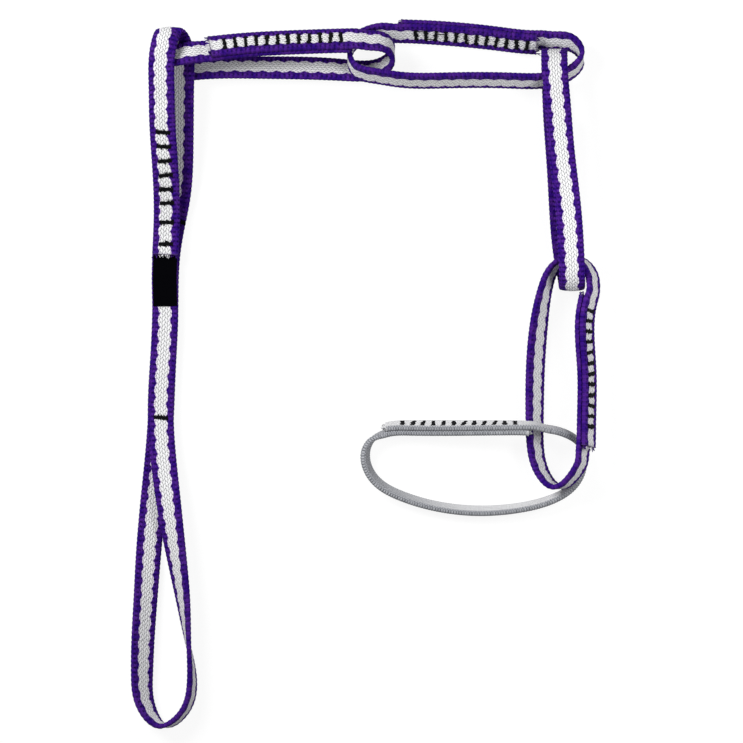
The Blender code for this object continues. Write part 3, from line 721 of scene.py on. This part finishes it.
TACKS = 12
TACK_PITCH = 5.2
# How much sooner than evenly a loop's sewing starts, and how much longer its pitch is, in millimetres
TACK_SHIFTS = {
    "first_link": (2.25, 0.1),
    "second_link": (0.75, -0.11),
    "third_link": (0.0, 0.0),
    "fourth_link": (2.5, 0.11),
    "end_link": (0.9, 0.0),
}
HOOKED_FIRST_SECOND, SECOND_ACROSS = 21.5, -0.19
THIRD_FROM_FAR_END, THIRD_ABOVE_STRAND = 9.2, 14.84
HOOKED_THIRD_FOURTH, FOURTH_ACROSS = 15.5, 0.3

second_place = (FIRST_LINK_PLACE[0] + FIRST_LENGTH - HOOKED_FIRST_SECOND, FIRST_LINK_PLACE[1] + SECOND_ACROSS)
third_place = (
    second_place[0] + SECOND_LENGTH - THIRD_FROM_FAR_END,
    second_place[1] - SECOND_SPREAD / 2.0 + THIRD_ABOVE_STRAND,
)
fourth_place = (third_place[0] + FOURTH_ACROSS, third_place[1] - THIRD_LENGTH + HOOKED_THIRD_FOURTH)
links = {
    "first_link": Route(FIRST_LINK_PX, FIRST_LINK_PLACE, RIGHTWARDS, FIRST_LENGTH, FIRST_SPREAD),
    "second_link": Route(
        SECOND_LINK_PX, second_place, RIGHTWARDS, SECOND_LENGTH, SECOND_SPREAD, SECOND_SPLICE
    ),
    "third_link": Route(THIRD_LINK_PX, third_place, DOWNWARDS, THIRD_LENGTH, THIRD_SPREAD, THIRD_SPLICE),
    "fourth_link": Route(
        FOURTH_LINK_PX, fourth_place, DOWNWARDS, FOURTH_LENGTH, FOURTH_SPREAD, FOURTH_SPLICE
    ),
}


def link_tacks(body, splice):
    """A link's tacks, spread evenly over its splice and then shifted and stretched as its own sewing is."""
    pitch = min(TACK_PITCH, (splice - 2.0 * SPLICE_CLEAR) / TACKS)
    sooner, longer = TACK_SHIFTS[body]
    return (splice - (TACKS - 1) * pitch) / 2.0 - sooner + (pitch + longer) * np.arange(TACKS)


# Where a link's woven middle lies aside and where its bends are cupped, in millimetres walked and of each
LINK_MIDDLE = {
    "second_link": ((105.0, 0.0), (122.0, -0.6), (205.0, -0.6), (222.0, 0.0)),
    "fourth_link": ((115.0, 0.0), (135.0, -0.5), (195.0, -0.5), (215.0, 0.0)),
}
LINK_CUPPED = {
    "third_link": ((82.0, 0.0), (92.0, 1.3), (102.0, 0.0), (190.0, 0.0), (198.0, 1.3), (208.0, 0.0)),
}
for body, route in links.items():
    sewn = link_tacks(body, route.splice)
    dents = np.append(sewn, sewn + route.length)
    loop = tape(
        body + "_woven_loop", route, TAPE_WIDE, TAPE_THICK, violet, RIB, RIB_HEIGHT, dents,
        LINK_CUPPED.get(body, FLAT), shift=LINK_MIDDLE.get(body, FLAT),
    )
    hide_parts(body + "_webbing")
    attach(loop, body)

# The end loop. It is the ring that clips in, of slimmer webbing in a finer weave, undyed: a white face
# between grey edges. Its splice is sewn like the links', and it leans over the fourth link's far end. A fifth
# number in its route tips the tape's width forward by so many degrees.
END_LINK_PX = (
    (529, 427, 17.2, 18, 0), (470, 427, 12.5, 24, 0), (410, 427, 7.0, 24, 0), (391, 428.3, 5.6, 20, 6),
    (376, 435.5, 4.8, 15, 15), (367, 449, 4.4, 12, 20), (367.5, 464, 4.4, 13, 19), (377, 480, 4.4, 17, 16),
    (402, 495, 4.4, 22, 8), (440, 506, 4.4, 24, 0), (480, 510, 4.4, 24, 0), (520, 507, 4.4, 22, 0),
    (555, 497.5, 4.4, 20, 0), (576, 483, 4.3, 16, 0), (585, 460, 4.3, 12, 0), (581, 444, 4.9, 12, 0),
    (568, 433.5, 10.0, 12, 0), (548, 428, 16.0, 14, 0),
)
SLIM_WIDE = 8.0
SLIM_THICK = 2.75
END_LENGTH, END_SPREAD, END_SPLICE = 109.25, 41.5, 72.0
END_PAST_STRAND, END_ABOVE_BIGHT = 10.4, 8.7
SLIM_RIB, SLIM_RIB_HEIGHT, SLIM_COLUMN = 1.3, 0.16, 0.95
SLIM_MIDDLE_REACH = 3.1
SLIM_SOFT_OUT, SLIM_SOFT_IN = 0.2, 0.3
SLIM_SLANT = 0.6
UNEVEN_SCALE = 1.1
SLIM_DOTS, SLIM_DOTS_WORN = 2.2, 0.5
SLIM_BUMP, SLIM_SHEEN = 0.2, 0.03
GREY_CROWN = (0.46, 0.47, 0.5, 1.0)
# The grey gap colour is painted shade in the edges' hollows
GREY_GAP_SHADE = (0.1, 0.105, 0.12, 1.0)


def grey_webbing():
    """Undyed polyester: the face is pale where |across| is under SLIM_MIDDLE_REACH and its pale mark is high,
    and grey elsewhere, as the edges are. Where the pale mark is low, that grey on the face is painted shade."""
    made, tree, surface = blank_material("pale grey webbing")
    weave, uv = place_weave(tree, SLIM_RIB, SLIM_COLUMN, SLIM_SLANT)
    noise = tree.nodes.new("ShaderNodeTexNoise")
    tree.links.new(uv, noise.inputs["Vector"])
    noise.inputs["Scale"].default_value = UNEVEN_SCALE
    worn = calc(tree, "SUBTRACT", noise.outputs[0], 0.5)
    lifted = calc(tree, "ADD", weave["Cell crown"], worn)
    # The grey edges are painted from shade in their gaps up to the crown grey
    edges = keep_in_range(mix_colours(tree, lifted, GREY_GAP_SHADE, GREY_CROWN))
    # Grey dots of painted shade where the pale face's picks part
    gap_shade_dots = calc(tree, "MULTIPLY_ADD", weave["Gap shade"], SLIM_DOTS, calc(tree, "MULTIPLY", worn, SLIM_DOTS_WORN))
    face = keep_in_range(mix_colours(tree, gap_shade_dots, WHITE_CROWN, WHITE_GAP_SHADE))
    inside = calc(tree, "SUBTRACT", SLIM_MIDDLE_REACH, calc(tree, "ABSOLUTE", weave["Across"]))
    on_face = add(tree, "MapRange", inside, -SLIM_SOFT_OUT, SLIM_SOFT_IN)
    # A low pale mark paints the face grey, as painted shade
    pale = calc(tree, "MULTIPLY", on_face, read_mark(tree, "pale"))
    cloth = mix_colours(tree, pale, edges, face)
    colour = mix_colours(tree, read_mark(tree, "melt"), cloth, WHITE_CROWN)
    rise = calc(tree, "MULTIPLY", weave["Cell crown"], SLIM_BUMP)
    finish_cloth(tree, surface, colour, rise, WEBBING_ROUGH, SLIM_SHEEN)
    return made


end_place = (fourth_place[0] + END_PAST_STRAND, fourth_place[1] - FOURTH_LENGTH + END_ABOVE_BIGHT)
end_route = Route(END_LINK_PX, end_place, LEFTWARDS, END_LENGTH, END_SPREAD, END_SPLICE)
sewn = link_tacks("end_link", END_SPLICE)
end_dents = np.append(sewn, sewn + end_route.length)
slim_look = grey_webbing()
# How much of the pale face shows, at millimetres walked: where little does, the face is painted grey as
# painted shade
PALE_OR_PAINTED_SHADE = (
    (0.0, 0.2), (END_SPLICE, 0.2), (92.0, 0.05), (115.0, 0.2), (150.0, 0.8), (195.0, 1.0), (212.0, 0.3),
    (end_route.length - 15.0, 0.25), (end_route.length, 0.9), (end_route.length + END_SPLICE, 1.0),
)
end_loop = tape(
    "end_link_woven_loop", end_route, SLIM_WIDE, SLIM_THICK, slim_look, SLIM_RIB, SLIM_RIB_HEIGHT, end_dents,
    pale=PALE_OR_PAINTED_SHADE,
)
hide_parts("end_link_webbing")
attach(end_loop, "end_link")

# The bar tacks. A bar tack is a dense zigzag of black thread, sewn over a few straight underlay stitches
# through all the layers. The needle thread shows on the splice's outside and the bobbin thread inside it.
THREAD_RADIUS = 0.22
THREAD_SIDES = 6
STITCHES = 19
POINTS_PER_STITCH = 6
TACK_ALONG = 1.9
LINK_TACK_ALONG = 1.45
TACK_ACROSS = 7.0
SLIM_TACK_ACROSS = 5.0
THREAD_SUNK = 0.02
TURN_DIP = 0.14
# How blunt the zigzag's tips and dips are, and how uneven its stitches, its skew and its tilt
SWING_POWER, DIP_POWER = 0.8, 6
REACH_LEAST, REACH_MORE, REACH_POWER = 0.85, 1.1, 3
SKEW, TILT = 0.25, 0.5
UNDERLAY_APART, UNDERLAY_SUNK = 0.35, 0.1
# Where the jump threads between the second link's last tacks lie, as shares of a tack's length across
JUMP_SHARES = (0.42, -0.3, 0.25)
PLIES, PLY_TURNS, PLY_BUMP = 3.0, 5.0, 0.05
THREAD_GROOVE_SHADE = (0.001, 0.001, 0.0015, 1.0)
THREAD_PLY = (0.007, 0.007, 0.009, 1.0)
THREAD_ROUGH = 0.6


def threads(name, paths, ups, look):
    """Threads as round tubes, with UVs of millimetres walked and the angle round the thread."""
    points, faces = tube_skins(paths, ups, THREAD_RADIUS, THREAD_SIDES)
    angle = np.arange(THREAD_SIDES) * 2.0 * np.pi / THREAD_SIDES
    walked = np.linalg.norm(np.diff(paths, axis=1, prepend=paths[:, :1]), axis=2).cumsum(axis=1) / MM
    uvs = np.stack(np.broadcast_arrays(walked[:, :, None], angle), axis=-1)
    return put_mesh(name, points, faces, uvs, look)


def black_thread():
    """Bonded polyester thread: three plies twisted together, whose grooves lie where
    |sin(PLIES * angle + PLY_TURNS * along)| is low and are painted darker there, as painted shade."""
    made, tree, surface = blank_material("black bar tack thread")
    uv = tree.nodes.new("ShaderNodeUVMap")
    uv.uv_map = "weave"
    split = tree.nodes.new("ShaderNodeSeparateXYZ")
    tree.links.new(uv.outputs[0], split.inputs[0])
    along = calc(tree, "MULTIPLY", split.outputs["X"], PLY_TURNS)
    turned = calc(tree, "MULTIPLY_ADD", split.outputs["Y"], PLIES, along)
    ply = calc(tree, "ABSOLUTE", calc(tree, "SINE", turned))
    # The plies' grooves carry painted shade
    colour = mix_colours(tree, ply, THREAD_GROOVE_SHADE, THREAD_PLY)
    finish_cloth(tree, surface, colour, calc(tree, "MULTIPLY", ply, PLY_BUMP), THREAD_ROUGH, 0.0)
    return made


thread = black_thread()
uneven = np.random.default_rng(11)


def laid(route, along, over, out, face):
    """Paths on a face of the tape, and the directions in which that face looks there."""
    paths = route.at(along, over, out)
    return paths, route.at(along, over, out + face) - paths


def zigzags(route, places, across, face, long, aside=0.0):
    """Each tack's zigzag. Its stitch number t runs from 0 to STITCHES: along is half the tack times
    sin(pi * (t - 1/2)), made blunter by a power and a little uneven, across goes steadily from edge to edge
    and aside, the whole is tilted a little, and the thread dips into the cloth at every tip."""
    t = np.linspace(0.0, STITCHES, STITCHES * POINTS_PER_STITCH + 1)
    swing = np.sin(np.pi * (t - 0.5))
    swing = np.sign(swing) * np.abs(swing) ** SWING_POWER
    tips = np.round(t).astype(int)
    stitches = uneven.uniform(0.0, 1.0, (len(places), STITCHES + 1))[:, tips]
    reach = REACH_LEAST + REACH_MORE * stitches**REACH_POWER
    tilt = uneven.uniform(-TILT, TILT, (len(places), 1)) * (2.0 * t / STITCHES - 1.0)
    along = places[:, None] + long / 2.0 * swing * reach + tilt
    skew = aside + uneven.uniform(-SKEW, SKEW, (len(places), 1))
    over = np.broadcast_to(across * (t / STITCHES - 0.5), along.shape) + skew
    lift = TAPE_THICK / 2.0 + THREAD_RADIUS - THREAD_SUNK - TURN_DIP * np.abs(swing) ** DIP_POWER
    return laid(route, along, over, face * np.broadcast_to(lift, along.shape), face)


def underlay(route, places, across, face):
    """Two straight stitches across the tape in each tack, under its zigzag."""
    middles = np.repeat(places, 2) + np.tile([-UNDERLAY_APART, UNDERLAY_APART], len(places))
    over = np.linspace(-across / 2.0, across / 2.0, STITCHES)
    along = np.broadcast_to(middles[:, None], (len(middles), len(over)))
    out = np.full(along.shape, face * (TAPE_THICK / 2.0 - UNDERLAY_SUNK))
    return laid(route, along, np.broadcast_to(over, along.shape), out, face)


def resample(paths, steps):
    """The same paths with another number of points each, spaced evenly by point number."""
    old = np.arange(paths.shape[1])
    new = np.linspace(0.0, paths.shape[1] - 1.0, steps)
    spread = np.stack([[np.interp(new, old, path[:, k]) for k in range(3)] for path in paths])
    return spread.transpose(0, 2, 1)


def sew(node, body, route, places, across, face, jump_shares=(), more=()):
    """One row of bar tacks on one face: zigzags, underlay, a jump thread from tack to tack at each share of a
    tack's length across, from the last tack back, and more threads as pairs of paths and ups."""
    steps = STITCHES * POINTS_PER_STITCH + 1
    long = TACK_ALONG if body == "tie_in_loop" else LINK_TACK_ALONG
    under = [resample(rows, steps) for rows in underlay(route, places, across, face)]
    rows = [zigzags(route, places, across, face, long), under, *more]
    for k, share in enumerate(jump_shares):
        walked = np.linspace(places[-1 - k], places[-2 - k], steps)[None, :]
        over = np.full(walked.shape, share * across)
        out = np.full(walked.shape, face * (TAPE_THICK / 2.0 + THREAD_RADIUS))
        rows.append(laid(route, walked, over, out, face))
    paths = np.concatenate([row[0] for row in rows])
    ups = unit(np.concatenate([row[1] for row in rows]))
    made = threads(node.split("_tack")[0] + "_thread", paths, ups, thread)
    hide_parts(node)
    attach(made, body)


sew("tie_in_needle_tacks", "tie_in_loop", tie_in, tie_in_tacks + once_round, TACK_ACROSS, 1.0)
sew("tie_in_bobbin_tacks", "tie_in_loop", tie_in, tie_in_tacks, TACK_ACROSS, -1.0)
sew("throat_needle_tacks", "tie_in_loop", tie_in, throat_front + once_round, TACK_ACROSS, 1.0)
# The upper throat tack also shows where the rear strand's inner face comes out beside the front strand
PEEK_FURTHER, PEEK_ACROSS, PEEK_ASIDE = 0.8, 2.2, -4.9
peek = zigzags(tie_in, throat_rear[-1:] + PEEK_FURTHER, PEEK_ACROSS, -1.0, TACK_ALONG, PEEK_ASIDE)
sew("throat_bobbin_tacks", "tie_in_loop", tie_in, throat_rear, TACK_ACROSS, 1.0, more=[peek])
sew("divider_needle_tack", "tie_in_loop", tie_in, divider[:1], TACK_ACROSS, 1.0)
sew("divider_bobbin_tack", "tie_in_loop", tie_in, divider[1:], TACK_ACROSS, 1.0)
for body, route in {**links, "end_link": end_route}.items():
    wide = SLIM_TACK_ACROSS if body == "end_link" else TACK_ACROSS
    jump_shares = JUMP_SHARES if body == "second_link" else ()
    sewn = link_tacks(body, route.splice)
    sew(body + "_needle_tacks", body, route, sewn + route.length, wide, 1.0, jump_shares)
    sew(body + "_bobbin_tacks", body, route, sewn, wide, -1.0, jump_shares)

# The label. A folded piece of black woven ribbon, sewn down over the front strand from just past the end of
# the splice. Its face is bare.
LABEL_LONG, LABEL_WIDE, LABEL_THICK = 25.4, 12.0, 0.6
LABEL_GAP, LABEL_PAST_END = 0.3, 0.8
LABEL_ROWS, LABEL_ACROSS = 49, 25
# The powers that round off its edges and its ends, how far the ends thin and how soon its faces are full
EDGE_POWER, END_POWER = 0.8, 16
END_THINNED, FACE_FULL = 0.8, 2.2
RIPPLE, RIPPLES = 0.12, 1.5
LABEL_RIB, LABEL_BUMP = 0.32, 0.04
LABEL_DARK = (0.0003, 0.0003, 0.0008, 1.0)
LABEL_CROWN_HIGHLIGHT = (0.0015, 0.0015, 0.0025, 1.0)
LABEL_ROUGH, LABEL_SPECULAR = 1.0, 0.03


def label_black():
    """Black satin ribbon: fine ribs across it, painted a little greyer on their crowns as a painted
    highlight.
    """
    made, tree, surface = blank_material("black ribbon")
    weave, _ = place_weave(tree, LABEL_RIB, LABEL_RIB, 0.0)
    # The rib crowns carry a painted highlight
    colour = mix_colours(tree, weave["Rib crown"], LABEL_DARK, LABEL_CROWN_HIGHLIGHT)
    rise = calc(tree, "MULTIPLY", weave["Rib crown"], LABEL_BUMP)
    finish_cloth(tree, surface, colour, rise, LABEL_ROUGH, 0.0, LABEL_SPECULAR)
    return made


def ribbon():
    """The ribbon's skin, both faces as one closed grid. With turn going once round its section, across is a
    power of cos(turn), and out is half its thickness times sin(turn), soon full, thinner at both ends by a
    power of the distance from its middle, plus a slow ripple: RIPPLE * sin(RIPPLES * pi * along) * across."""
    along = np.linspace(0.0, 1.0, LABEL_ROWS)[:, None]
    turn = np.linspace(0.0, 2.0 * np.pi, 2 * LABEL_ACROSS, endpoint=False)[None, :]
    across = np.sign(np.cos(turn)) * np.abs(np.cos(turn)) ** EDGE_POWER
    half = LABEL_THICK / 2.0 * (1.0 - np.abs(2.0 * along - 1.0) ** END_POWER * END_THINNED)
    out = half * np.sign(np.sin(turn)) * np.minimum(1.0, FACE_FULL * np.abs(np.sin(turn)))
    ripple = RIPPLE * np.sin(RIPPLES * np.pi * along) * across
    walked = SPLICE + LABEL_PAST_END + LABEL_LONG * along
    walked, across, out = np.broadcast_arrays(walked, across * LABEL_WIDE / 2.0, out + ripple)
    shape = walked.shape
    lift = TAPE_THICK / 2.0 + LABEL_GAP + LABEL_THICK / 2.0
    points = tie_in.at(walked, across, out + lift)
    last = (LABEL_ROWS - 1) * shape[1]
    caps = [np.arange(shape[1])[::-1].tolist(), (last + np.arange(shape[1])).tolist()]
    quads = grid_faces(*shape)
    # The quads or the caps are turned round, so that both face out on either side of the tape
    if tie_in.outward[0] < 0:
        quads = quads[:, ::-1]
    else:
        caps = [cap[::-1] for cap in caps]
    uvs = np.stack([walked, across], axis=-1)
    return put_mesh("blank_label", points, quads.tolist() + caps, uvs, label_black())


label = ribbon()
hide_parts("label")
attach(label, "tie_in_loop")
